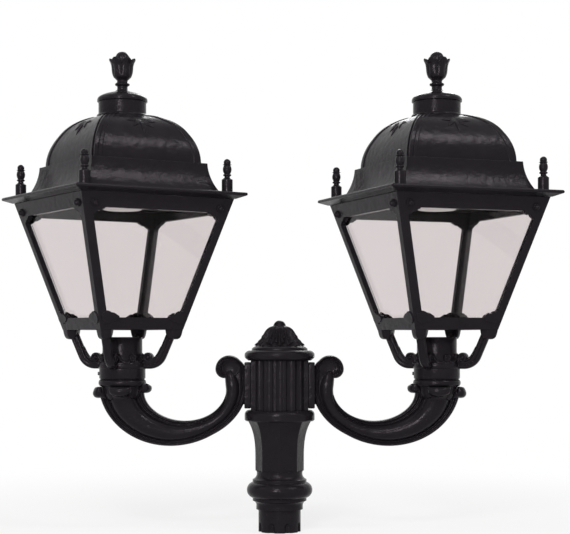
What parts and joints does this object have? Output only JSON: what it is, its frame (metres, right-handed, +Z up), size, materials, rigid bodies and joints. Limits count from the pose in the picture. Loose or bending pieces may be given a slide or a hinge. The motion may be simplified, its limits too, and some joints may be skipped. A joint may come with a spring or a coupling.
{
  "type": "post lantern",
  "caption": "Twin-arm post-top lantern head in black cast metal: fluted hub, scroll arms with leaf cups, and square tapered lanterns with hinged domed roofs.",
  "frame": {"origin": "on the pole axis, at the mouth of the pole socket in the column stub", "axes": "+Z up along the pole axis, +X along the right arm, -Y to the front"},
  "size_m": [1.0049, 0.4538, 0.8623],
  "materials": {
    "cast_black": "textured satin black paint on a casting",
    "clear_diffuser": "clear moulded",
    "gasket": "matt foam",
    "steel": "zinc plated",
    "black_steel": "blackened",
    "white_sheet": "satin white",
    "opal_lamp": "opal",
    "pale_plastic": "moulded"
  },
  "bodies": {
    "head": {"column_stub": "cast_black", "pole_set_screws": "steel", "knuckle_collar": "cast_black", "bell_sleeve": "cast_black", "seat_ring": "cast_black", "fluted_drum": "cast_black", "hub_cap": "cast_black", "tie_rod": "steel", "tie_nut": "steel", "junction_block": "pale_plastic", "arm_left": "cast_black", "arm_bolts_left": "steel", "spigot_left": "cast_black", "arm_right": "cast_black", "arm_bolts_right": "steel", "spigot_right": "cast_black"},
    "lantern_left": {"yoke_left": "cast_black", "collar_screws_left": "black_steel", "foot_screws_left": "black_steel", "lantern_frame_left": "cast_black", "diffuser_left": "clear_diffuser", "diffuser_gasket_left": "gasket", "hinge_pins_left": "steel", "catch_screw_left": "black_steel"},
    "roof_left": {"roof_skirt_left": "cast_black", "roof_dome_left": "cast_black", "roof_screws_left": "steel", "vent_cap_left": "cast_black", "top_finial_left": "cast_black", "corner_finials_left": "cast_black", "reflector_left": "white_sheet", "lamp_holder_left": "pale_plastic", "lamp_disc_left": "opal_lamp", "driver_box_left": "pale_plastic"},
    "lantern_right": {"yoke_right": "cast_black", "collar_screws_right": "black_steel", "foot_screws_right": "black_steel", "lantern_frame_right": "cast_black", "diffuser_right": "clear_diffuser", "diffuser_gasket_right": "gasket", "hinge_pins_right": "steel", "catch_screw_right": "black_steel"},
    "roof_right": {"roof_skirt_right": "cast_black", "roof_dome_right": "cast_black", "roof_screws_right": "steel", "vent_cap_right": "cast_black", "top_finial_right": "cast_black", "corner_finials_right": "cast_black", "reflector_right": "white_sheet", "lamp_holder_right": "pale_plastic", "lamp_disc_right": "opal_lamp", "driver_box_right": "pale_plastic"}
  },
  "joints": [
    {"name": "left_lantern_turn", "type": "hinge", "parent": "head", "child": "lantern_left", "pos_m": [-0.283, 0, 0.3], "axis": [0, 0, 1], "range_deg": [-180, 180]},
    {"name": "left_roof_hinge", "type": "hinge", "parent": "lantern_left", "child": "roof_left", "pos_m": [-0.36484, 0.13046, 0.585], "axis": [-0.8471, -0.5314, 0], "range_deg": [0, 95]},
    {"name": "right_lantern_turn", "type": "hinge", "parent": "head", "child": "lantern_right", "pos_m": [0.283, 0, 0.3], "axis": [0, 0, 1], "range_deg": [-180, 180]},
    {"name": "right_roof_hinge", "type": "hinge", "parent": "lantern_right", "child": "roof_right", "pos_m": [0.22882, 0.14415, 0.585], "axis": [-0.9361, -0.3518, 0], "range_deg": [0, 95]}
  ]
}
